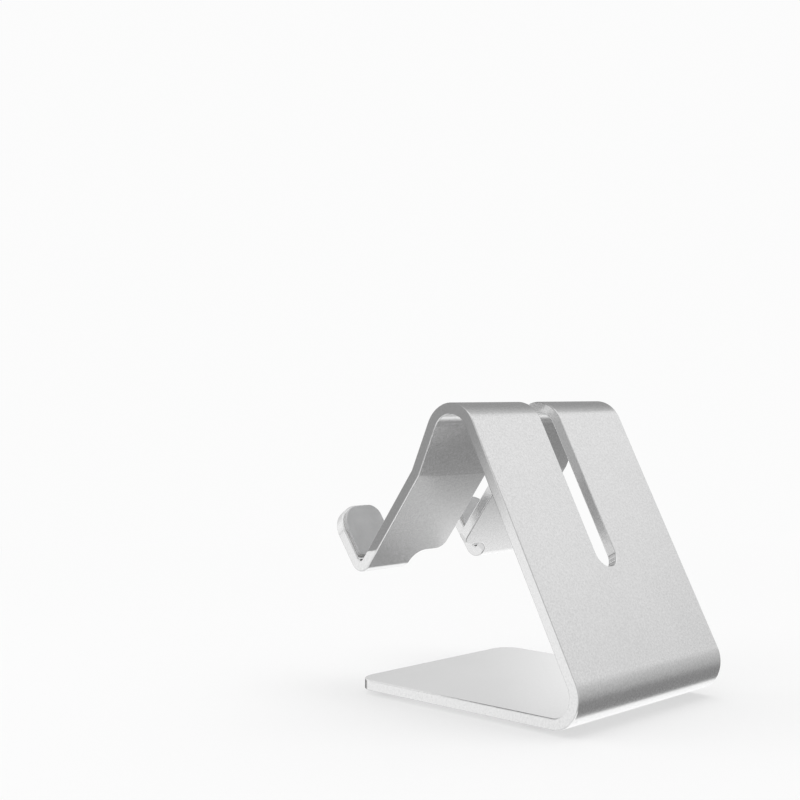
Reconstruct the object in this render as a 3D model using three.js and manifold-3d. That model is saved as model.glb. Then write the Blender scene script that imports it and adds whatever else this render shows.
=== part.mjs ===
// Phone stand folded from one strip of aluminium sheet, with its silicone pads and feet.
//
// Millimetres, +Z up. +Y points to the back of the stand, -Y to the person who uses it, and
// +X to that person's right. The origin is on the surface the stand rests on, under the middle
// of the whole assembly. The stand is mirror symmetric about the plane X = 0.

import * as THREE from 'three';
import { mergeVertices } from 'three/addons/utils/BufferGeometryUtils.js';
import Module from 'manifold-3d';

// ---------------------------------------------------------------- driving dimensions

const SHEET = 3;              // thickness of the aluminium sheet
const WIDTH = 63;             // width of the strip
const BEND_STEP = 7.5;        // most degrees that one facet of a bend turns
const ARC_FACETS = 8;         // facets of a rounded corner
const ROUND_FACETS = 32;      // facets round a foot

// The strip, in order from the front edge of the base to the tip of the hooks. A bend's angle
// is positive where the sheet turns up and forwards, and its radius is that of its inner side.
const BASE_LENGTH = 69;
const HEEL_ANGLE = 118;
const HEEL_RADIUS = 5.5;
const BACK_LENGTH = 70;
const CROWN_ANGLE = 127;
const CROWN_RADIUS = 6;
const BROW_LENGTH = 14;
const KINK_ANGLE = -12;
const KINK_RADIUS = 1.5;
const FRONT_LENGTH = 31.5;
const HOOK_ANGLE = -107;
const HOOK_RADIUS = 1;
const LIP_LENGTH = 17;

// Outline of the strip and its cut-outs.
const BASE_CORNER_RADIUS = 6; // front corners of the base
const LIP_OUTER_RADIUS = 8;   // outer corners of the lips
const LIP_INNER_RADIUS = 4;   // inner corners of the lips
const SLOT_WIDTH = 8.2;       // cable slot over the crown
const SLOT_END = 27;          // from the lower end of the back to the slot's round end
const NOTCH_WIDTH = 31;       // opening between the two hooks
const NOTCH_TOP = 27.7;       // from the kink down to the notch's upper edge
const NOTCH_SHOULDER = 3;     // radius where the slot opens into the notch
const NOTCH_FILLET = 4;       // radius in the notch's upper corners

// Self-adhesive silicone pads and feet.
const FILM = 0.2;             // adhesive film under each pad and foot
const PAD = 0.8;              // silicone of a pad
const PAD_MARGIN = 0.7;       // from the edges of a lip to its pad
const PAD_CORNER = 1.5;       // small corner radius of a pad
const HOOK_PAD_START = 0.6;   // from the hook's bend to the pad
const REST_PAD_WIDTH = 16;
const REST_PAD_START = 2;     // from the crown's bend to the pad
const REST_PAD_LENGTH = 10;
const REST_PAD_CORNER = 3;
const FOOT_RADIUS = 5;
const FOOT_HEIGHT = 1;
const FOOT_EDGE = 0.3;        // rounding of a foot's lower edge
const FOOT_INSET_X = 9;       // from the sides of the base to the feet's centres
const FOOT_FRONT = 9;         // from the front edge of the base to the front feet's centres
const FOOT_REAR = 61;         // from the front edge of the base to the rear feet's centres

const THROUGH = 2;            // how far a cutter runs past the sheet
const WELD = 1e-4;            // corners nearer than this are one corner

const wasm = await Module();
wasm.setup();

// ---------------------------------------------------------------- the folded strip

const rad = THREE.MathUtils.degToRad;

/** One place on the sheet's middle surface, seen from the side, and the way the strip runs. */
class Station {
  constructor(y, z, heading) {
    this.y = y;
    this.z = z;
    this.heading = heading;
  }

  /** The place a distance further on, and a distance to the left, above the base. */
  moved(ahead, left = 0) {
    const c = Math.cos(this.heading);
    const s = Math.sin(this.heading);
    return new Station(this.y + ahead * c - left * s, this.z + ahead * s + left * c, this.heading);
  }

  /** Matrix from (across the strip, along it, out of its left face) to the stand. */
  frame() {
    const along = new THREE.Vector3(0, Math.cos(this.heading), Math.sin(this.heading));
    const across = new THREE.Vector3(1, 0, 0);
    const out = new THREE.Vector3().crossVectors(across, along);
    return new THREE.Matrix4().makeBasis(across, along, out).setPosition(0, this.y, this.z);
  }
}

/** The stations of a bend after its start, one at the end of each facet. */
function bend(start, degrees, innerRadius) {
  const side = Math.sign(degrees);
  const radius = side * (innerRadius + SHEET / 2);
  const centre = start.moved(0, radius);
  const facets = Math.ceil(Math.abs(degrees) / BEND_STEP);
  const stations = [];
  for (let i = 1; i <= facets; i += 1) {
    const heading = start.heading + rad(degrees) * i / facets;
    stations.push(new Station(centre.y, centre.z, heading).moved(0, -radius));
  }
  return stations;
}

const ground = FOOT_HEIGHT + FILM + SHEET / 2;
const baseStart = new Station(0, ground, 0);
const baseEnd = baseStart.moved(BASE_LENGTH);
const heel = bend(baseEnd, HEEL_ANGLE, HEEL_RADIUS);
const backStart = heel.at(-1);
const backEnd = backStart.moved(BACK_LENGTH);
const crown = bend(backEnd, CROWN_ANGLE, CROWN_RADIUS);
const browStart = crown.at(-1);
const browEnd = browStart.moved(BROW_LENGTH);
const kink = bend(browEnd, KINK_ANGLE, KINK_RADIUS);
const frontStart = kink.at(-1);
const frontEnd = frontStart.moved(FRONT_LENGTH);
const hook = bend(frontEnd, HOOK_ANGLE, HOOK_RADIUS);
const lipStart = hook.at(-1);
const lipEnd = lipStart.moved(LIP_LENGTH);

const strip = [
  baseStart, baseEnd, ...heel, backEnd, ...crown, browEnd, ...kink, frontEnd, ...hook, lipEnd,
];

// ---------------------------------------------------------------- solids

/** A three.js geometry as a solid that can be joined and cut. */
function toSolid(geometry) {
  const bare = geometry.clone();
  bare.deleteAttribute('normal');
  bare.deleteAttribute('uv');
  const merged = mergeVertices(bare, WELD);
  return new wasm.Manifold(new wasm.Mesh({
    numProp: 3,
    vertProperties: new Float32Array(merged.attributes.position.array),
    triVerts: new Uint32Array(merged.index.array),
  }));
}

/** A solid as a three.js geometry. */
function toGeometry(solid) {
  const mesh = solid.getMesh();
  const geometry = new THREE.BufferGeometry();
  geometry.setAttribute('position', new THREE.BufferAttribute(mesh.vertProperties, 3));
  geometry.setIndex(new THREE.BufferAttribute(mesh.triVerts, 1));
  geometry.computeVertexNormals();
  return geometry;
}

/** A flat shape, given as (across, along) a panel, made solid between two heights over it. */
function plate(shape, station, low, high) {
  const geometry = new THREE.ExtrudeGeometry(shape, {
    depth: high - low,
    bevelEnabled: false,
    curveSegments: ARC_FACETS,
  });
  geometry.translate(0, 0, low);
  geometry.applyMatrix4(station.frame());
  return geometry;
}

/** A rectangle across and along a panel. */
function rectangle(left, right, start, end) {
  const shape = new THREE.Shape();
  shape.moveTo(left, start);
  shape.lineTo(right, start);
  shape.lineTo(right, end);
  shape.lineTo(left, end);
  shape.closePath();
  return shape;
}

/** A rectangle with a radius for each corner, from the one at (left, start) round by the right. */
function rounded(left, right, start, end, radii) {
  const [a, b, c, d] = radii;
  const turn = Math.PI / 2;
  const shape = new THREE.Shape();
  shape.absarc(left + a, start + a, a, 2 * turn, 3 * turn, false);
  shape.absarc(right - b, start + b, b, 3 * turn, 4 * turn, false);
  shape.absarc(right - c, end - c, c, 0, turn, false);
  shape.absarc(left + d, end - d, d, turn, 2 * turn, false);
  shape.closePath();
  return shape;
}

/** What is cut away outside a rounded corner; the corner points to (sideways, ahead) = +-1. */
function cornerWaste(x, along, sideways, ahead, radius) {
  const centreX = x - sideways * radius;
  const centreAlong = along - ahead * radius;
  const shape = new THREE.Shape();
  shape.moveTo(x + sideways * THROUGH, along + ahead * THROUGH);
  shape.lineTo(x + sideways * THROUGH, centreAlong);
  const from = sideways > 0 ? 0 : Math.PI;
  const to = ahead > 0 ? Math.PI / 2 : -Math.PI / 2;
  const clockwise = sideways * ahead < 0;
  shape.absarc(centreX, centreAlong, radius, from, sideways > 0 ? to : Math.PI - to, clockwise);
  shape.lineTo(centreX, along + ahead * THROUGH);
  shape.closePath();
  return shape;
}

// ---------------------------------------------------------------- body

/** The strip with its bends, before anything is cut out of it. */
function foldedStrip() {
  const half = SHEET / 2;
  const outline = [
    ...strip.map((station) => station.moved(0, -half)),
    ...strip.map((station) => station.moved(0, half)).reverse(),
  ];
  const shape = new THREE.Shape(outline.map((point) => new THREE.Vector2(point.y, point.z)));
  const geometry = new THREE.ExtrudeGeometry(shape, { depth: WIDTH, bevelEnabled: false });
  // The shape lies in X and Y and grows along Z: turn these to Y, Z and X.
  geometry.translate(0, 0, -WIDTH / 2);
  const toSide = new THREE.Matrix4().makeBasis(
    new THREE.Vector3(0, 1, 0),
    new THREE.Vector3(0, 0, 1),
    new THREE.Vector3(1, 0, 0),
  );
  geometry.applyMatrix4(toSide);
  return geometry;
}

/** The cable slot in the back, with its round lower end. */
function backSlot() {
  const r = SLOT_WIDTH / 2;
  const shape = new THREE.Shape();
  shape.moveTo(r, BACK_LENGTH);
  shape.lineTo(-r, BACK_LENGTH);
  shape.absarc(0, SLOT_END + r, r, Math.PI, 2 * Math.PI, false);
  shape.closePath();
  return plate(shape, backStart, -SHEET / 2 - THROUGH, SHEET / 2 + THROUGH);
}

/** The slot over the crown: all that stands above the two panels' upper ends. */
function crownSlot() {
  const r = SLOT_WIDTH / 2;
  const top = CROWN_RADIUS + SHEET + THROUGH;
  const level = new Station((backEnd.y + browStart.y) / 2, backEnd.z, 0);
  return plate(rectangle(-r, r, -2 * top, 2 * top), level, -SHEET, 2 * top);
}

/** The slot down the brow, from the crown past the kink. */
function browSlot() {
  const r = SLOT_WIDTH / 2;
  const shape = rectangle(-r, r, -SHEET, BROW_LENGTH + SHEET);
  return plate(shape, browStart, -SHEET / 2 - THROUGH, SHEET / 2 + THROUGH);
}

/** The slot down the front, which opens into the notch between the hooks. */
function frontNotch() {
  const r = SLOT_WIDTH / 2;
  const w = NOTCH_WIDTH / 2;
  const turn = Math.PI / 2;
  const shoulder = NOTCH_TOP - NOTCH_SHOULDER;
  const fillet = NOTCH_TOP + NOTCH_FILLET;
  const end = FRONT_LENGTH + HOOK_RADIUS + SHEET + THROUGH;
  const shape = new THREE.Shape();
  shape.moveTo(-r, -SHEET);
  shape.lineTo(r, -SHEET);
  shape.absarc(r + NOTCH_SHOULDER, shoulder, NOTCH_SHOULDER, 2 * turn, turn, true);
  shape.absarc(w - NOTCH_FILLET, fillet, NOTCH_FILLET, -turn, 0, false);
  shape.lineTo(w, end);
  shape.lineTo(-w, end);
  shape.absarc(NOTCH_FILLET - w, fillet, NOTCH_FILLET, 2 * turn, 3 * turn, false);
  shape.absarc(-r - NOTCH_SHOULDER, shoulder, NOTCH_SHOULDER, turn, 0, true);
  shape.closePath();
  const reach = 2 * (HOOK_RADIUS + SHEET) + THROUGH;
  return plate(shape, frontStart, -SHEET / 2 - reach, SHEET / 2 + THROUGH);
}

/** The gap between the two lips. */
function lipGap() {
  const w = NOTCH_WIDTH / 2;
  const shape = rectangle(-w, w, -SHEET, LIP_LENGTH + THROUGH);
  return plate(shape, lipStart, -SHEET / 2 - THROUGH, SHEET / 2 + THROUGH);
}

/** What the rounded corners of the base and the lips take away. */
function cornerCuts() {
  const w = WIDTH / 2;
  const n = NOTCH_WIDTH / 2;
  const low = -SHEET / 2 - THROUGH;
  const high = SHEET / 2 + THROUGH;
  const cuts = [];
  for (const side of [-1, 1]) {
    cuts.push(plate(cornerWaste(side * w, 0, side, -1, BASE_CORNER_RADIUS), baseStart, low, high));
    cuts.push(plate(cornerWaste(side * w, LIP_LENGTH, side, 1, LIP_OUTER_RADIUS), lipStart, low, high));
    cuts.push(plate(cornerWaste(side * n, LIP_LENGTH, -side, 1, LIP_INNER_RADIUS), lipStart, low, high));
  }
  return cuts;
}

function standBody() {
  const cuts = [backSlot(), crownSlot(), browSlot(), frontNotch(), lipGap(), ...cornerCuts()];
  let solid = toSolid(foldedStrip());
  for (const cut of cuts) {
    solid = solid.subtract(toSolid(cut));
  }
  return toGeometry(solid);
}

// ---------------------------------------------------------------- pads and feet

/** The layers of a pad on the face of a panel that the phone leans on. */
function padLayers(shape, station) {
  const face = -SHEET / 2;
  return {
    film: plate(shape, station, face - FILM, face),
    pad: plate(shape, station, face - FILM - PAD, face - FILM),
  };
}

function hookPadShape(side) {
  const inner = side * (NOTCH_WIDTH / 2 + PAD_MARGIN);
  const outer = side * (WIDTH / 2 - PAD_MARGIN);
  const innerRadius = LIP_INNER_RADIUS - PAD_MARGIN;
  const outerRadius = LIP_OUTER_RADIUS - PAD_MARGIN;
  const upper = side > 0 ? [outerRadius, innerRadius] : [innerRadius, outerRadius];
  return rounded(
    Math.min(inner, outer),
    Math.max(inner, outer),
    HOOK_PAD_START,
    LIP_LENGTH - PAD_MARGIN,
    [PAD_CORNER, PAD_CORNER, ...upper],
  );
}

function restPadShape(side) {
  const centre = side * (WIDTH / 2 + SLOT_WIDTH / 2) / 2;
  return rounded(
    centre - REST_PAD_WIDTH / 2,
    centre + REST_PAD_WIDTH / 2,
    REST_PAD_START,
    REST_PAD_START + REST_PAD_LENGTH,
    Array(4).fill(REST_PAD_CORNER),
  );
}

/** A round foot that stands on the ground, with its lower edge rounded. */
function foot() {
  const edge = new THREE.Path();
  edge.moveTo(0, 0);
  edge.lineTo(FOOT_RADIUS - FOOT_EDGE, 0);
  edge.absarc(FOOT_RADIUS - FOOT_EDGE, FOOT_EDGE, FOOT_EDGE, -Math.PI / 2, 0, false);
  edge.lineTo(FOOT_RADIUS, FOOT_HEIGHT);
  edge.lineTo(0, FOOT_HEIGHT);
  return turned(edge.getPoints(ARC_FACETS / 2));
}

/** The round adhesive film between a foot and the base. */
function footFilm() {
  return turned([
    new THREE.Vector2(0, FOOT_HEIGHT),
    new THREE.Vector2(FOOT_RADIUS, FOOT_HEIGHT),
    new THREE.Vector2(FOOT_RADIUS, FOOT_HEIGHT + FILM),
    new THREE.Vector2(0, FOOT_HEIGHT + FILM),
  ]);
}

/** A profile of (radius, height) turned about the vertical axis. */
function turned(profile) {
  const geometry = new THREE.LatheGeometry(profile, ROUND_FACETS);
  geometry.rotateX(Math.PI / 2);
  return geometry;
}

// ---------------------------------------------------------------- assembly

const aluminium = { color: 0xd6d8da, roughness: 0.42, metalness: 1.0 };
const silicone = { color: 0xb9bcc0, roughness: 0.75, metalness: 0.0 };
const rubber = { color: 0x2c2d2f, roughness: 0.85, metalness: 0.0 };
const adhesive = { color: 0xe6e3d8, roughness: 0.5, metalness: 0.0 };

const assembly = new THREE.Group();

function add(name, geometry, finish, x = 0, y = 0) {
  const mesh = new THREE.Mesh(geometry, new THREE.MeshStandardMaterial(finish));
  mesh.name = name;
  mesh.position.set(x, y, 0);
  assembly.add(mesh);
}

add('stand_body', standBody(), aluminium);

for (const [hand, side] of [['left', -1], ['right', 1]]) {
  const hookPad = padLayers(hookPadShape(side), lipStart);
  add(`hook_pad_film_${hand}`, hookPad.film, adhesive);
  add(`hook_pad_${hand}`, hookPad.pad, silicone);

  const restPad = padLayers(restPadShape(side), browStart);
  add(`rest_pad_film_${hand}`, restPad.film, adhesive);
  add(`rest_pad_${hand}`, restPad.pad, silicone);

  const x = side * (WIDTH / 2 - FOOT_INSET_X);
  for (const [end, y] of [['front', FOOT_FRONT], ['rear', FOOT_REAR]]) {
    add(`foot_film_${end}_${hand}`, footFilm(), adhesive, x, y);
    add(`foot_${end}_${hand}`, foot(), rubber, x, y);
  }
}

// The origin moves from the front edge of the base to the middle of the whole stand.
const extent = new THREE.Box3().setFromObject(assembly);
assembly.position.y = -(extent.min.y + extent.max.y) / 2;

export default assembly;
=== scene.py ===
import math

import bmesh
import bpy
import numpy as np
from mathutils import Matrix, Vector


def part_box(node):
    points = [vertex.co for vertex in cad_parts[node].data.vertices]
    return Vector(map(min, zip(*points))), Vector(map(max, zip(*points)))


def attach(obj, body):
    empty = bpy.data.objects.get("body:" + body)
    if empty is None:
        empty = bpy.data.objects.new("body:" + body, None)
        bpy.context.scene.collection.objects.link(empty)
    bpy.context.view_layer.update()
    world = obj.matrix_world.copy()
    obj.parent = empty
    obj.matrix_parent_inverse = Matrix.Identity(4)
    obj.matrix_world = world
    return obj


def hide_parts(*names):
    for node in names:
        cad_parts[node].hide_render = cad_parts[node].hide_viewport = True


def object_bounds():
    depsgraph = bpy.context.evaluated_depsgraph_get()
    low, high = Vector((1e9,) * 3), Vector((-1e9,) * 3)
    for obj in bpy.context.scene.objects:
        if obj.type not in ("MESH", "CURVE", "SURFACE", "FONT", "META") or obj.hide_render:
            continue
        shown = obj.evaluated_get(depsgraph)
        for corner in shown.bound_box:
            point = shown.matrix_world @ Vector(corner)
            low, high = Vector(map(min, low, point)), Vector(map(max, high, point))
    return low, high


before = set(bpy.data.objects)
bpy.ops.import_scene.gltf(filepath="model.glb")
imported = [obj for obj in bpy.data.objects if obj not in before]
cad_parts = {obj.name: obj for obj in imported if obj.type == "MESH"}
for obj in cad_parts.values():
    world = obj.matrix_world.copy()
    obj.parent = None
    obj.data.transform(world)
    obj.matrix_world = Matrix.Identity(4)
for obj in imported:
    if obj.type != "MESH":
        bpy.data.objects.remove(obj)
cad_low, cad_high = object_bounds()

# ------------------------------------------------------------------ driving dimensions
# Millimetres. The strip of sheet metal runs from the front edge of the base over the heel,
# the back, the crown, the brow, the kink and the front panel to the tip of the hooks.

MM = 0.001
SHEET = 3.0
WIDTH = 63.0

# Each section's length, or the angle in degrees and inner radius of a bend.
BASE, BACK, BROW, FRONT, LIP = 69.0, 70.0, 14.0, 31.5, 17.0
HEEL_BEND, CROWN_BEND, KINK_BEND, HOOK_BEND = (118, 5.5), (127, 6.0), (-12, 1.5), (-107, 1.0)

BASE_CORNER_R = 6.0
LIP_OUTER_R = 8.0
LIP_INNER_R = 4.0
SLOT_HALF = 4.1
SLOT_END = 27.0
NOTCH_HALF = 15.5
NOTCH_TOP = 27.7
SHOULDER_R = 3.0
FILLET_R = 4.0

FILM = 0.2
PAD = 0.8
PAD_MARGIN = 0.7
PAD_CORNER = 1.5
HOOK_PAD_START = 0.6
REST_PAD_HALF = 8.0
REST_PAD_START = 2.0
REST_PAD_LENGTH = 10.0
REST_PAD_CORNER = 3.0
FOOT_R = 5.0
FOOT_HEIGHT = 1.0
FOOT_EDGE_R = 0.45
FOOT_TOP_EDGE = 0.08
# The foot's slightly hollow sole, as (radius, height), up to its rounded edge.
FOOT_SOLE = [(0, 0.10), (1.2, 0.09), (2.4, 0.055), (3.3, 0.015), (3.8, 0.0)]
FOOT_SIDES = 64
FOOT_FRONT = 9.0  # from the front edge of the base to the front feet's centres
GROUND = FOOT_HEIGHT + FILM + SHEET / 2  # height of the base's middle surface

EDGE_R = 0.35  # rounding of the sheet's cut edges
PAD_EDGE_R = 0.28
PAD_SEAT_EDGE_R = 0.08
PAD_SEAT = -SHEET / 2 - FILM  # from the strip's middle surface to the pads' seats
BEND_STEP = 2.5  # degrees between the rulings of a bend
SAME_PLACE = 1e-4  # points nearer than this are one point


# ------------------------------------------------------------------ the folded strip


class Strip:
    """The strip's middle surface from the side: where it is and which way it runs."""

    def __init__(self, y, z):
        self.sections = []
        self.u, self.y, self.z, self.heading = 0.0, y, z, 0.0

    def grow(self, length, curvature=0.0):
        start = (self.u, self.y, self.z, self.heading, curvature)
        self.sections.append((*start, length))
        y, z, heading = self.along(self.sections[-1], np.array([self.u + length]))
        self.u += length
        self.y, self.z, self.heading = y[0], z[0], heading[0]
        return start[0]

    def bend(self, degrees, inner_radius):
        angle, radius = math.radians(degrees), inner_radius + SHEET / 2
        return self.grow(abs(angle) * radius, math.copysign(1 / radius, angle))

    @staticmethod
    def along(section, u):
        """Place and heading at each distance u along the strip, on one section."""
        u0, y0, z0, heading0, curvature, _ = section
        s = u - u0
        heading = heading0 + curvature * s
        if curvature == 0:
            return y0 + s * math.cos(heading0), z0 + s * math.sin(heading0), heading
        y = y0 + (np.sin(heading) - math.sin(heading0)) / curvature
        z = z0 - (np.cos(heading) - math.cos(heading0)) / curvature
        return y, z, heading

    def fold(self, flat, flat_normals):
        """Points (across, along, out) and their normals, folded. out is the distance from the
        middle surface, to the left of the way it runs."""
        x, u, n = flat.T
        y, z, heading, curvature = (np.zeros(len(u)) for _ in range(4))
        for i, section in enumerate(self.sections):
            here = u >= section[0] - 1e-6 if i else np.ones(len(u), bool)
            y[here], z[here], heading[here] = self.along(section, u[here])
            curvature[here] = section[4]
        c, s = np.cos(heading), np.sin(heading)
        points = np.stack([x, y - n * s, z + n * c], 1)
        nx, nu, nn = flat_normals.T
        nu = nu / (1 - n * curvature)
        normals = np.stack([nx, nu * c - nn * s, nu * s + nn * c], 1)
        return points, normals / np.linalg.norm(normals, axis=1)[:, None]

    def rulings(self):
        """Distances along the strip where a bend is divided."""
        found = []
        for u0, _, _, _, curvature, length in self.sections:
            if curvature:
                count = math.ceil(math.degrees(length * abs(curvature)) / BEND_STEP)
                found += [u0 + length * i / count for i in range(count + 1)]
        return found


def middle(node):
    low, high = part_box(node)
    return (low + high) / 2


# The base starts a known distance in front of its front feet.
strip = Strip(middle("foot_front_left").y / MM - FOOT_FRONT, GROUND)
strip.grow(BASE)
strip.bend(*HEEL_BEND)
BACK_U = strip.grow(BACK)
strip.bend(*CROWN_BEND)
BROW_U = strip.grow(BROW)
strip.bend(*KINK_BEND)
FRONT_U = strip.grow(FRONT)
strip.bend(*HOOK_BEND)
LIP_U = strip.grow(LIP)
LIP_END = LIP_U + LIP


# ------------------------------------------------------------------ outlines


class Outline:
    """A closed smooth loop of points (across, along) with outward normals."""

    def __init__(self):
        self.points, self.normals = [], []

    def arc(self, x, u, radius, start, end, steps=10):
        """An arc; it turns right, round a hollow corner, where end is below start."""
        sign = 1 if end > start else -1
        for i in range(steps + 1):
            a = math.radians(start + (end - start) * i / steps)
            n = (math.cos(a), math.sin(a))
            self.points.append((x + radius * n[0], u + radius * n[1]))
            self.normals.append((sign * n[0], sign * n[1]))
        return self

    def arrays(self):
        return np.array(self.points), np.array(self.normals)


def body_outline():
    half, far = WIDTH / 2, LIP_END
    top = FRONT_U + NOTCH_TOP
    slot_u = BACK_U + SLOT_END + SLOT_HALF
    o = Outline()
    o.arc(half - BASE_CORNER_R, BASE_CORNER_R, BASE_CORNER_R, -90, 0, 16)
    o.arc(half - LIP_OUTER_R, far - LIP_OUTER_R, LIP_OUTER_R, 0, 90, 16)
    o.arc(NOTCH_HALF + LIP_INNER_R, far - LIP_INNER_R, LIP_INNER_R, 90, 180)
    o.arc(NOTCH_HALF - FILLET_R, top + FILLET_R, FILLET_R, 0, -90)
    o.arc(SLOT_HALF + SHOULDER_R, top - SHOULDER_R, SHOULDER_R, 90, 180)
    o.arc(0, slot_u, SLOT_HALF, 0, -180, 28)
    o.arc(-SLOT_HALF - SHOULDER_R, top - SHOULDER_R, SHOULDER_R, 0, 90)
    o.arc(FILLET_R - NOTCH_HALF, top + FILLET_R, FILLET_R, 270, 180)
    o.arc(-NOTCH_HALF - LIP_INNER_R, far - LIP_INNER_R, LIP_INNER_R, 0, 90)
    o.arc(LIP_OUTER_R - half, far - LIP_OUTER_R, LIP_OUTER_R, 90, 180, 16)
    o.arc(BASE_CORNER_R - half, BASE_CORNER_R, BASE_CORNER_R, 180, 270, 16)
    return o.arrays()


def rounded_outline(left, right, start, end, radii):
    """A rectangle with a radius for each corner, from (left, start) round by the right."""
    a, b, c, d = radii
    o = Outline()
    o.arc(left + a, start + a, a, 180, 270)
    o.arc(right - b, start + b, b, 270, 360)
    o.arc(right - c, end - c, c, 0, 90)
    o.arc(left + d, end - d, d, 90, 180)
    return o.arrays()


# ------------------------------------------------------------------ plates


def ring_profile(low, high, edge_low, edge_high, steps=5):
    """(inset, height) of the rings round a plate's rim, from its lower face to its upper."""
    rings = []
    for i in range(steps + 1):
        a = math.pi / 2 * i / steps
        rings.append((edge_low * (1 - math.sin(a)), low + edge_low * (1 - math.cos(a))))
    for i in range(steps + 1):
        a = math.pi / 2 * i / steps
        rings.append((edge_high * (1 - math.cos(a)), high - edge_high * (1 - math.sin(a))))
    return rings


def nearest_on_loop(points, loop):
    """For each point, the nearest point of a closed loop, and whether it lies inside it."""
    a, b = loop, np.roll(loop, -1, axis=0)
    ab = b - a
    best = np.full(len(points), np.inf)
    nearest = np.zeros_like(points)
    inside = np.zeros(len(points), bool)
    for start, end, step in zip(a, b, ab):
        length2 = step @ step
        if length2 < 1e-12:
            continue
        t = np.clip(((points - start) @ step) / length2, 0, 1)
        candidate = start + t[:, None] * step
        distance = ((points - candidate) ** 2).sum(1)
        closer = distance < best
        best[closer] = distance[closer]
        nearest[closer] = candidate[closer]
        crosses = (start[1] > points[:, 1]) != (end[1] > points[:, 1])
        if step[1] != 0:
            at = start[0] + (points[:, 1] - start[1]) * step[0] / step[1]
            inside ^= crosses & (points[:, 0] < at)
    return nearest, inside


def plate(name, outline, low, high, edge_low, edge_high, cuts=()):
    """A plate of the strip's metal, or a pad on it, with a rounded rim, folded to shape.

    low and high are its faces' distances from the strip's middle surface, to the left of the
    way it runs. cuts are the places along the strip where it is divided so that it can bend.
    """
    points, normals = outline
    rings = ring_profile(low, high, edge_low, edge_high)
    bm = bmesh.new()
    loops = []
    for inset, n in rings:
        ring = points - inset * normals
        loops.append([bm.verts.new((x, u, n)) for x, u in ring])
    count = len(points)
    for one, other in zip(loops, loops[1:]):
        for i in range(count):
            j = (i + 1) % count
            bm.faces.new((one[i], one[j], other[j], other[i]))
    bm.faces.new(list(reversed(loops[0])))
    bm.faces.new(loops[-1])
    bmesh.ops.remove_doubles(bm, verts=bm.verts, dist=SAME_PLACE)
    for u in cuts:
        geom = bm.verts[:] + bm.edges[:] + bm.faces[:]
        bmesh.ops.bisect_plane(
            bm, geom=geom, dist=SAME_PLACE, plane_co=(0, u, 0), plane_no=(0, 1, 0),
        )
    bmesh.ops.recalc_face_normals(bm, faces=bm.faces)
    mesh = bpy.data.meshes.new(name)
    bm.to_mesh(mesh)
    bm.free()

    flat = np.empty(len(mesh.vertices) * 3)
    mesh.vertices.foreach_get("co", flat)
    flat = flat.reshape(-1, 3)
    flat_normals = rim_normals(flat, points, normals, low, high, edge_low, edge_high)
    folded, folded_normals = strip.fold(flat, flat_normals)
    folded = np.clip(folded * MM, np.array(cad_low), np.array(cad_high))
    mesh.vertices.foreach_set("co", folded.ravel())
    rim = mesh.attributes.new("rim", "FLOAT", "POINT")
    rim.data.foreach_set("value", 1 - np.abs(flat_normals[:, 2]))
    mesh.polygons.foreach_set("use_smooth", np.ones(len(mesh.polygons), bool))
    mesh.update()
    mesh.normals_split_custom_set_from_vertices(folded_normals.tolist())
    piece = bpy.data.objects.new(name, mesh)
    bpy.context.scene.collection.objects.link(piece)
    return piece


def rim_normals(flat, points, normals, low, high, edge_low, edge_high):
    """Normals of a plate's vertices before it is folded: away from its core, which is the
    plate less the roundings of its rim."""
    result = np.zeros_like(flat)
    below = flat[:, 2] < (low + high) / 2
    for edge, here in ((edge_low, below), (edge_high, ~below)):
        at = flat[here]
        core = points - edge * normals
        nearest, inside = nearest_on_loop(at[:, :2], core)
        nearest[inside] = at[inside, :2]
        height = np.clip(at[:, 2], low + edge_low, high - edge_high)
        away = at - np.column_stack([nearest, height])
        result[here] = away / np.maximum(np.linalg.norm(away, axis=1), 1e-9)[:, None]
    return result


def finish_piece(piece, material, node):
    piece.data.materials.append(material)
    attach(piece, "root")
    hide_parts(node)


# ------------------------------------------------------------------ materials


class Nodes:
    """A short way to build a node tree."""

    def __init__(self, tree):
        self.tree = tree
        tree.nodes.clear()

    def add(self, kind, **values):
        node = self.tree.nodes.new(kind)
        for key, value in values.items():
            setattr(node, key, value)
        return node

    def link(self, a, b):
        self.tree.links.new(a, b)

    def noise(self, vector, scale, detail, roughness):
        node = self.add("ShaderNodeTexNoise")
        node.inputs["Scale"].default_value = scale
        node.inputs["Detail"].default_value = detail
        node.inputs["Roughness"].default_value = roughness
        self.link(vector, node.inputs["Vector"])
        return node.outputs["Fac"]

    def map_range(self, value, low, high, to_low, to_high, smooth=False):
        node = self.add("ShaderNodeMapRange")
        if smooth:
            node.interpolation_type = "SMOOTHSTEP"
        limits = {"From Min": low, "From Max": high, "To Min": to_low, "To Max": to_high}
        for name, limit in limits.items():
            node.inputs[name].default_value = limit
        self.link(value, node.inputs["Value"])
        return node.outputs["Result"]

    def math(self, operation, a, b=None):
        node = self.add("ShaderNodeMath", operation=operation)
        for socket, value in zip(node.inputs, (a, b)):
            if value is None:
                continue
            if isinstance(value, (int, float)):
                socket.default_value = value
            else:
                self.link(value, socket)
        return node.outputs[0]

    def mix_color(self, factor, a, b):
        """A blend of two colours, each a socket or a constant, by a factor's socket."""
        node = self.add("ShaderNodeMix", data_type="RGBA")
        for name, value in (("Factor", factor), ("A", a), ("B", b)):
            socket = [s for s in node.inputs if s.name == name and s.enabled][0]
            if isinstance(value, tuple):
                socket.default_value = value
            else:
                self.link(value, socket)
        return [s for s in node.outputs if s.enabled][0]

    def bump(self, height, strength, distance):
        node = self.add("ShaderNodeBump")
        node.inputs["Strength"].default_value = strength
        node.inputs["Distance"].default_value = distance
        self.link(height, node.inputs["Height"])
        return node.outputs["Normal"]


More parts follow.
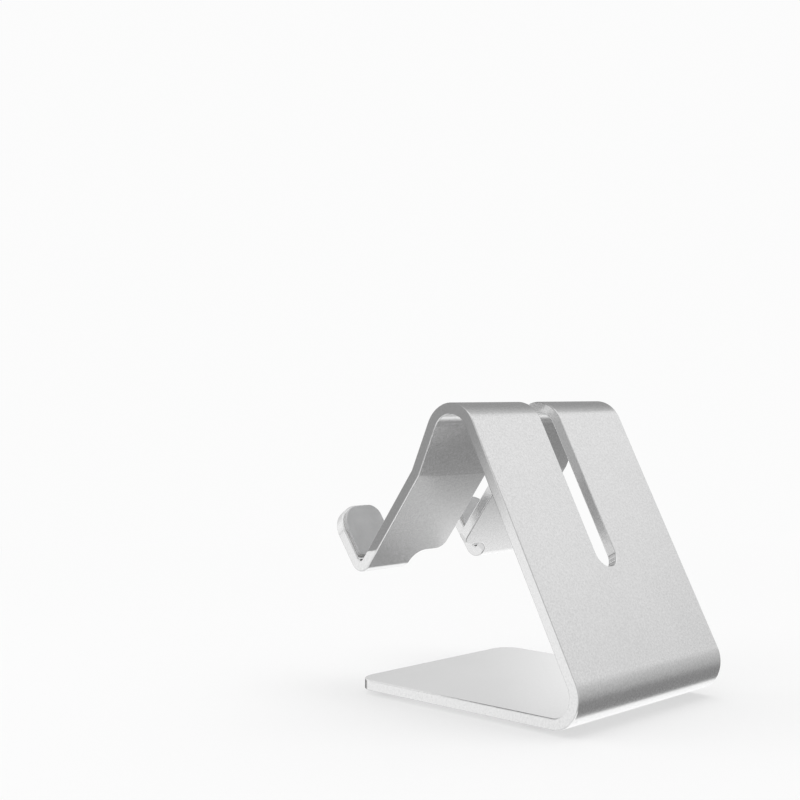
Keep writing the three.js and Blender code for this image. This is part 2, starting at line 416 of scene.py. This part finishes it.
def new_material(name):
    material = bpy.data.materials.new(name)
    material.use_nodes = True
    n = Nodes(material.node_tree)
    out = n.add("ShaderNodeOutputMaterial")
    shader = n.add("ShaderNodeBsdfPrincipled")
    n.link(shader.outputs["BSDF"], out.inputs["Surface"])
    place = n.add("ShaderNodeTexCoord").outputs["Object"]
    return material, n, shader, place


def aluminium():
    """Silver anodised sheet, blasted with fine beads."""
    material, n, shader, place = new_material("anodised_aluminium")
    shader.inputs["Metallic"].default_value = 1.0
    grain = n.noise(place, 1900, 2.0, 0.55)
    fine = n.noise(place, 4500, 1.0, 0.5)
    cloud = n.noise(place, 45, 3.0, 0.55)
    rim = n.add("ShaderNodeAttribute", attribute_name="rim").outputs["Fac"]

    mottle = n.math(
        "ADD",
        n.map_range(grain, 0.3, 0.7, -0.5, 0.5),
        n.map_range(cloud, 0.3, 0.7, -0.11, 0.11),
    )
    tone = n.map_range(mottle, -0.65, 0.65, 0.0, 1.0)
    base = n.mix_color(tone, (0.70, 0.70, 0.701, 1), (0.86, 0.86, 0.861, 1))
    # Painted highlight: the rounded cut edges get a lighter colour, unevenly, in place of the
    # bright lines that light draws along them. The cut edges are also a little smoother, unevenly.
    edge_unevenness = n.map_range(n.noise(place, 1400, 2.0, 0.6), 0.35, 0.65, 0.45, 0.8)
    edge_wear_and_highlight = n.math("MULTIPLY", rim, edge_unevenness)
    # Painted highlight: the colour along the edges is lifted towards a light silver.
    base = n.mix_color(n.math("MULTIPLY", edge_wear_and_highlight, 0.6), base, (0.89, 0.89, 0.89, 1))
    n.link(base, shader.inputs["Base Color"])

    rough = n.math(
        "ADD",
        n.map_range(grain, 0.3, 0.7, 0.18, 0.22),
        n.map_range(cloud, 0.3, 0.7, -0.015, 0.015),
    )
    rough = n.math("SUBTRACT", rough, n.math("MULTIPLY", edge_wear_and_highlight, 0.03))
    n.link(rough, shader.inputs["Roughness"])

    beads = n.math("ADD", grain, n.math("MULTIPLY", fine, 0.4))
    n.link(n.bump(beads, 0.2, 0.00003), shader.inputs["Normal"])
    return material


def silicone():
    """Matt light grey silicone, faintly cloudy, with the fine texture of its mould."""
    material, n, shader, place = new_material("grey_silicone")
    grain = n.noise(place, 3500, 2.0, 0.6)
    cloud = n.noise(place, 180, 3.0, 0.6)
    tone = n.map_range(n.math("ADD", n.math("MULTIPLY", grain, 0.5), cloud), 0.5, 1.0, 0.0, 1.0)
    base = n.mix_color(tone, (0.40, 0.402, 0.405, 1), (0.48, 0.482, 0.485, 1))
    n.link(base, shader.inputs["Base Color"])
    n.link(n.map_range(grain, 0.3, 0.7, 0.50, 0.66), shader.inputs["Roughness"])
    shader.inputs["Subsurface Weight"].default_value = 0.25
    shader.inputs["Subsurface Radius"].default_value = (1.0, 1.0, 1.0)
    shader.inputs["Subsurface Scale"].default_value = 0.0006
    n.link(n.bump(grain, 0.5, 0.00004), shader.inputs["Normal"])
    return material


def rubber():
    """Matt black rubber with a fine stipple."""
    material, n, shader, place = new_material("black_rubber")
    grain = n.noise(place, 2600, 3.0, 0.65)
    cloud = n.noise(place, 260, 3.0, 0.6)
    tone = n.map_range(n.math("ADD", n.math("MULTIPLY", grain, 0.5), cloud), 0.5, 1.0, 0.0, 1.0)
    base = n.mix_color(tone, (0.026, 0.026, 0.028, 1), (0.052, 0.052, 0.055, 1))
    n.link(base, shader.inputs["Base Color"])
    n.link(n.map_range(grain, 0.3, 0.7, 0.62, 0.82), shader.inputs["Roughness"])
    n.link(n.bump(grain, 0.6, 0.00006), shader.inputs["Normal"])
    return material


def adhesive():
    """Milky self-adhesive film with small bubbles."""
    material, n, shader, place = new_material("adhesive_film")
    cloud = n.noise(place, 420, 3.0, 0.6)
    bubbles = n.noise(place, 1500, 1.0, 0.5)
    tone = n.map_range(cloud, 0.35, 0.65, 0.0, 1.0)
    base = n.mix_color(tone, (0.66, 0.655, 0.64, 1), (0.76, 0.755, 0.74, 1))
    n.link(base, shader.inputs["Base Color"])
    n.link(n.map_range(bubbles, 0.35, 0.7, 0.28, 0.5), shader.inputs["Roughness"])
    shader.inputs["Subsurface Weight"].default_value = 0.3
    shader.inputs["Subsurface Radius"].default_value = (1.0, 1.0, 0.9)
    shader.inputs["Subsurface Scale"].default_value = 0.0004
    n.link(n.bump(bubbles, 0.4, 0.00003), shader.inputs["Normal"])
    return material


ALUMINIUM, SILICONE, RUBBER, ADHESIVE = aluminium(), silicone(), rubber(), adhesive()


# ------------------------------------------------------------------ pieces

body = plate("folded_body", body_outline(), -SHEET / 2, SHEET / 2, EDGE_R, EDGE_R, strip.rulings())
finish_piece(body, ALUMINIUM, "stand_body")


def foot(name, x, y):
    """A moulded rubber foot: a disc with a rounded lower edge and a slightly hollow sole."""
    profile = list(FOOT_SOLE)
    steps = 6
    for i in range(steps + 1):
        a = math.pi / 2 * i / steps
        r = FOOT_R - FOOT_EDGE_R + FOOT_EDGE_R * math.sin(a)
        profile.append((r, FOOT_EDGE_R * (1 - math.cos(a))))
    profile.append((FOOT_R, FOOT_HEIGHT - FOOT_TOP_EDGE))
    profile.append((FOOT_R - FOOT_TOP_EDGE, FOOT_HEIGHT))
    profile.append((0, FOOT_HEIGHT))
    bm = bmesh.new()
    rings = []
    for r, z in profile:
        if r == 0:
            rings.append([bm.verts.new((x, y, z * MM))] * FOOT_SIDES)
        else:
            turn = [2 * math.pi * i / FOOT_SIDES for i in range(FOOT_SIDES)]
            rings.append([
                bm.verts.new((x + r * MM * math.cos(a), y + r * MM * math.sin(a), z * MM))
                for a in turn
            ])
    for one, other in zip(rings, rings[1:]):
        for i in range(FOOT_SIDES):
            j = (i + 1) % FOOT_SIDES
            corners = []
            for v in (one[i], one[j], other[j], other[i]):
                if v not in corners:
                    corners.append(v)
            bm.faces.new(corners)
    bmesh.ops.recalc_face_normals(bm, faces=bm.faces)
    for face in bm.faces:
        face.smooth = True
    # The edge round the flat top stays sharp.
    tops = {v for v in bm.verts if abs(v.co.z - FOOT_HEIGHT * MM) < SAME_PLACE * MM}
    for edge in bm.edges:
        flats = [tops.issuperset(f.verts) for f in edge.link_faces]
        edge.smooth = flats[0] == flats[1]
    mesh = bpy.data.meshes.new(name)
    bm.to_mesh(mesh)
    bm.free()
    piece = bpy.data.objects.new(name, mesh)
    bpy.context.scene.collection.objects.link(piece)
    return piece


def pad(name, outline, node):
    piece = plate(name, outline, PAD_SEAT - PAD, PAD_SEAT, PAD_EDGE_R, PAD_SEAT_EDGE_R)
    finish_piece(piece, SILICONE, node)


def hook_pad_outline(side):
    """On a lip's inner face; side is 1 on the right and -1 on the left."""
    near, far = NOTCH_HALF + PAD_MARGIN, WIDTH / 2 - PAD_MARGIN
    inner_r, outer_r = LIP_INNER_R - PAD_MARGIN, LIP_OUTER_R - PAD_MARGIN
    across = (near, far) if side > 0 else (-far, -near)
    upper = (outer_r, inner_r) if side > 0 else (inner_r, outer_r)
    start, end = LIP_U + HOOK_PAD_START, LIP_END - PAD_MARGIN
    return rounded_outline(*across, start, end, (PAD_CORNER, PAD_CORNER, *upper))


def rest_pad_outline(side):
    """In the middle of a half of the brow; side is 1 on the right and -1 on the left."""
    centre = side * (WIDTH / 2 + SLOT_HALF) / 2
    left, right = centre - REST_PAD_HALF, centre + REST_PAD_HALF
    start = BROW_U + REST_PAD_START
    return rounded_outline(left, right, start, start + REST_PAD_LENGTH, (REST_PAD_CORNER,) * 4)


for hand, side in (("left", -1), ("right", 1)):
    pad(f"hook_silicone_{hand}", hook_pad_outline(side), f"hook_pad_{hand}")
    pad(f"rest_silicone_{hand}", rest_pad_outline(side), f"rest_pad_{hand}")
    for end in ("front", "rear"):
        spot = middle(f"foot_{end}_{hand}")
        piece = foot(f"rubber_foot_{end}_{hand}", spot.x, spot.y)
        finish_piece(piece, RUBBER, f"foot_{end}_{hand}")

for name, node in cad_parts.items():
    if "film" in name:
        node.data.materials.clear()
        node.data.materials.append(ADHESIVE)


# ------------------------------------------------------------------ camera

CAMERA_PLACE = (0.28290, 0.23901, 0.08294)
CAMERA_YAW, CAMERA_PITCH = math.radians(132.38), math.radians(0.34)
camera_data = bpy.data.cameras.new("camera")
camera_data.sensor_width = 36
camera_data.lens = 60.23
camera_data.shift_x = -0.0875
camera_data.clip_start, camera_data.clip_end = 0.01, 60
camera = bpy.data.objects.new("camera", camera_data)
bpy.context.scene.collection.objects.link(camera)
camera.location = CAMERA_PLACE
back = Vector((
    math.sin(CAMERA_YAW) * math.cos(CAMERA_PITCH),
    -math.cos(CAMERA_YAW) * math.cos(CAMERA_PITCH),
    math.sin(CAMERA_PITCH),
))
camera.rotation_mode = "QUATERNION"
camera.rotation_quaternion = (-back).to_track_quat("-Z", "Y")
bpy.context.scene.camera = camera


# ------------------------------------------------------------------ stage and light

WHITE = 0.97  # what the camera sees of the backdrop and the far floor
BRIGHT = 1.2  # level 1 of what the metal sees
TO_CAMERA_SIDE = (0.71, 0.63, 0.31)
LIT_POINT = (0, 0, 0.04)


def floor():
    """A pale floor that takes soft shadows by the stand and glows white further out."""
    bm = bmesh.new()
    bmesh.ops.create_circle(bm, cap_ends=True, radius=30, segments=96)
    mesh = bpy.data.meshes.new("floor")
    bm.to_mesh(mesh)
    bm.free()
    piece = bpy.data.objects.new("floor", mesh)
    bpy.context.scene.collection.objects.link(piece)
    material = bpy.data.materials.new("floor")
    material.use_nodes = True
    n = Nodes(material.node_tree)
    out = n.add("ShaderNodeOutputMaterial")
    diffuse = n.add("ShaderNodeBsdfDiffuse")
    diffuse.inputs["Color"].default_value = (0.86, 0.86, 0.86, 1)
    glow = n.add("ShaderNodeEmission")
    glow.inputs["Color"].default_value = (1, 1, 1, 1)
    glow.inputs["Strength"].default_value = WHITE
    place = n.add("ShaderNodeTexCoord").outputs["Object"]
    reach = n.add("ShaderNodeVectorMath", operation="LENGTH")
    n.link(place, reach.inputs[0])
    factor = n.map_range(reach.outputs["Value"], 0.10, 0.42, 0.5, 1.0, smooth=True)
    mix = n.add("ShaderNodeMixShader")
    n.link(factor, mix.inputs["Fac"])
    n.link(diffuse.outputs["BSDF"], mix.inputs[1])
    n.link(glow.outputs["Emission"], mix.inputs[2])
    n.link(mix.outputs["Shader"], out.inputs["Surface"])
    mesh.materials.append(material)
    piece.visible_glossy = False


def grey(level):
    return (level, level, level, 1)


def grey_ramp(n, value, stops):
    """Grey level against an angle or a place, from (value, level) stops."""
    ramp = n.add("ShaderNodeValToRGB")
    elements = ramp.color_ramp.elements
    while len(elements) > 1:
        elements.remove(elements[0])
    first, last = stops[0][0], stops[-1][0]
    for i, (at, level) in enumerate(stops):
        position = (at - first) / (last - first)
        element = elements[0] if i == 0 else elements.new(position)
        element.position = position
        element.color = grey(level)
    n.link(n.map_range(value, first, last, 0.0, 1.0), ramp.inputs["Fac"])
    return ramp.outputs["Color"]


def window(n, value, rise, fall):
    """1 between two soft edges, each a pair of values."""
    up = n.map_range(value, *rise, 0.0, 1.0, smooth=True)
    down = n.map_range(value, *fall, 1.0, 0.0, smooth=True)
    return n.math("MULTIPLY", up, down)


def patch(n, around, left, right, elevation, bottom, top):
    """1 inside a soft-edged patch of the sky."""
    return n.math("MULTIPLY", window(n, around, left, right), window(n, elevation, bottom, top))


def sky():
    """The studio round the stand. The camera sees a white backdrop. The metal sees a bright
    ceiling and a bright table with a dim room between them, and grey walls in front."""
    world = bpy.data.worlds.new("sky")
    bpy.context.scene.world = world
    world.use_nodes = True
    n = Nodes(world.node_tree)
    out = n.add("ShaderNodeOutputWorld")
    direction = n.add("ShaderNodeTexCoord").outputs["Generated"]
    split = n.add("ShaderNodeSeparateXYZ")
    n.link(direction, split.inputs["Vector"])
    x, y, z = split.outputs
    elevation = n.math("MULTIPLY", n.math("ARCSINE", z), 180 / math.pi)
    # Degrees round from -X, positive towards -Y.
    around = n.math("ARCTAN2", n.math("MULTIPLY", y, -1.0), n.math("MULTIPLY", x, -1.0))
    around = n.math("MULTIPLY", around, 180 / math.pi)

    # Behind and over the stand: a bright table, the dim room above it and a bright ceiling.
    level = grey_ramp(n, elevation, [
        (-90, 1.0), (-42, 1.0), (-40, 0.23), (-20, 0.25), (-8, 0.40), (10, 0.53),
        (19, 0.64), (27, 0.77), (45, 0.78), (90, 0.92),
    ])
    # On the right, the table's edge is brighter.
    to_right = n.map_range(x, 0.50, 0.68, 0.0, 1.0, smooth=True)
    table_edge = n.math("MULTIPLY", to_right, window(n, elevation, (-52, -46), (-24, -16)))
    level = n.mix_color(table_edge, level, grey(0.50))

    # In front, from the left round to the right: a bright wall, a dimmer gap and another wall,
    # over the table and a dark skirting in the gap.
    front = grey_ramp(n, around, [
        (-180, 1.0), (35, 1.0), (37.5, 0.88), (39.5, 0.76), (41.5, 0.655), (48, 0.60),
        (80, 0.64), (105, 0.85), (180, 0.85),
    ])
    near_table = grey_ramp(n, around, [(-180, 0.96), (34, 0.96), (60, 0.68), (180, 0.68)])
    low_down = n.map_range(elevation, -17, -13, 1.0, 0.0, smooth=True)
    front = n.mix_color(low_down, front, near_table)
    skirting = patch(n, around, (38, 50), (85, 100), elevation, (-19, -15), (-8, -5))
    front = n.mix_color(skirting, front, grey(0.18))
    in_front = n.math(
        "MULTIPLY",
        window(n, around, (-5, 3), (168, 180)),
        n.map_range(elevation, 16, 30, 1.0, 0.0, smooth=True),
    )
    level = n.mix_color(in_front, level, front)
    # A dim doorway far off to the front right, which the slot's arch sees.
    doorway = patch(n, around, (125, 133), (147, 155), elevation, (-3.5, -0.5), (5, 9))
    level = n.mix_color(doorway, level, grey(0.15))
    # A dim corner high on the left, and the dimmer room behind the camera.
    corner = patch(n, around, (-24, -12), (10, 25), elevation, (37, 50), (75, 88))
    level = n.mix_color(corner, level, grey(0.5))
    behind = n.add("ShaderNodeVectorMath", operation="DOT_PRODUCT")
    n.link(direction, behind.inputs[0])
    behind.inputs[1].default_value = TO_CAMERA_SIDE
    behind = n.map_range(behind.outputs["Value"], 0.55, 0.85, 0.0, 1.0, smooth=True)
    level = n.mix_color(behind, level, grey(0.52))

    dome = n.add("ShaderNodeBackground")
    dome.inputs["Strength"].default_value = BRIGHT
    n.link(level, dome.inputs["Color"])
    backdrop = n.add("ShaderNodeBackground")
    backdrop.inputs["Color"].default_value = (WHITE, WHITE, WHITE, 1)
    seen = n.add("ShaderNodeLightPath").outputs["Is Camera Ray"]
    mix = n.add("ShaderNodeMixShader")
    n.link(seen, mix.inputs["Fac"])
    n.link(dome.outputs["Background"], mix.inputs[1])
    n.link(backdrop.outputs["Background"], mix.inputs[2])
    n.link(mix.outputs["Shader"], out.inputs["Surface"])


def card(name, quads, strength):
    """A glowing card that only reflections show, made of four-cornered pieces. strength makes
    its level from its nodes and the three parts of a place on it."""
    mesh = bpy.data.meshes.new(name)
    faces = [tuple(range(4 * i, 4 * i + 4)) for i in range(len(quads))]
    mesh.from_pydata([corner for quad in quads for corner in quad], [], faces)
    material = bpy.data.materials.new(name)
    material.use_nodes = True
    n = Nodes(material.node_tree)
    split = n.add("ShaderNodeSeparateXYZ")
    n.link(n.add("ShaderNodeTexCoord").outputs["Object"], split.inputs["Vector"])
    glow = n.add("ShaderNodeEmission")
    level = n.math("MULTIPLY", strength(n, *split.outputs), BRIGHT)
    n.link(level, glow.inputs["Strength"])
    n.link(glow.outputs["Emission"], n.add("ShaderNodeOutputMaterial").inputs["Surface"])
    mesh.materials.append(material)
    piece = bpy.data.objects.new(name, mesh)
    bpy.context.scene.collection.objects.link(piece)
    piece.visible_camera = False
    piece.visible_diffuse = False
    piece.visible_shadow = False
    piece.visible_transmission = False


def leaning_card():
    """Stands where the back of a phone would lean on the stand, on its side. It is open in
    front of the stand, and darkest beside it."""
    rests = np.array([
        (0, BROW_U + REST_PAD_START, -SHEET / 2 - FILM - PAD),
        (0, FRONT_U + FRONT, -SHEET / 2),
    ])
    top, bottom = strip.fold(rests, np.array([(0, 0, -1), (0, 0, -1)]))[0]
    heading = math.atan2(bottom[2] - top[2], bottom[1] - top[1])
    c, s = math.cos(heading), math.sin(heading)
    gap = 0.1  # between the card and what it leans on

    def place(x, u):
        """u runs down the card from the upper rest."""
        return (x * MM, (top[1] + u * c + gap * s) * MM, (top[2] + u * s - gap * c) * MM)

    half = 88.0
    start, end = -37.4, 40.9
    hole, hole_start = WIDTH / 2 + 0.2, -8.5
    quads = []
    for left, right, high, low in (
        (-half, half, start, hole_start),
        (-half, -hole, hole_start, end),
        (hole, half, hole_start, end),
    ):
        quads.append([place(left, high), place(right, high), place(right, low), place(left, low)])

    def strength(n, x, y, z):
        aside = n.map_range(n.math("ABSOLUTE", x), 0.052, 0.100, 0.28, 0.80, smooth=True)
        return n.math("ADD", aside, n.map_range(z, 0.084, 0.105, 0.0, 0.25, smooth=True))

    card("leaning_card", quads, strength)


def table_card():
    """Lies on the table to the left of the stand, bright to the front and dim to the rear."""
    gap = 0.002  # beside the stand
    left, right = -0.17, -WIDTH / 2 * MM - gap
    front, rear = -0.09, 0.036
    quad = [(left, front, 0), (right, front, 0), (right, rear, 0), (left, rear, 0)]

    def strength(n, x, y, z):
        return grey_ramp(n, n.math("DIVIDE", y, MM), [
            (-90, 1.0), (-38, 1.0), (-27, 0.87), (-14, 0.64), (-2, 0.38), (8, 0.24),
            (20, 0.29), (28, 0.33), (36, 0.33),
        ])

    card("table_card", [quad], strength)


def softbox(name, place, size, power):
    """A soft light aimed at the stand. Reflections don't show it."""
    data = bpy.data.lights.new(name, "AREA")
    data.shape = "RECTANGLE"
    data.size, data.size_y = size
    data.energy = power
    light = bpy.data.objects.new(name, data)
    light.location = place
    aim = Vector(LIT_POINT) - Vector(place)
    light.rotation_mode = "QUATERNION"
    light.rotation_quaternion = aim.to_track_quat("-Z", "Y")
    light.visible_glossy = False
    bpy.context.scene.collection.objects.link(light)


floor()
sky()
leaning_card()
table_card()
softbox("left_softbox", (0.75, -0.68, 0.30), (0.9, 0.7), 3.2)
softbox("top_softbox", (-0.2, 0.25, 1.1), (0.8, 0.8), 3.0)
bpy.context.scene.view_settings.view_transform = "Standard"
bpy.context.scene.view_settings.look = "None"
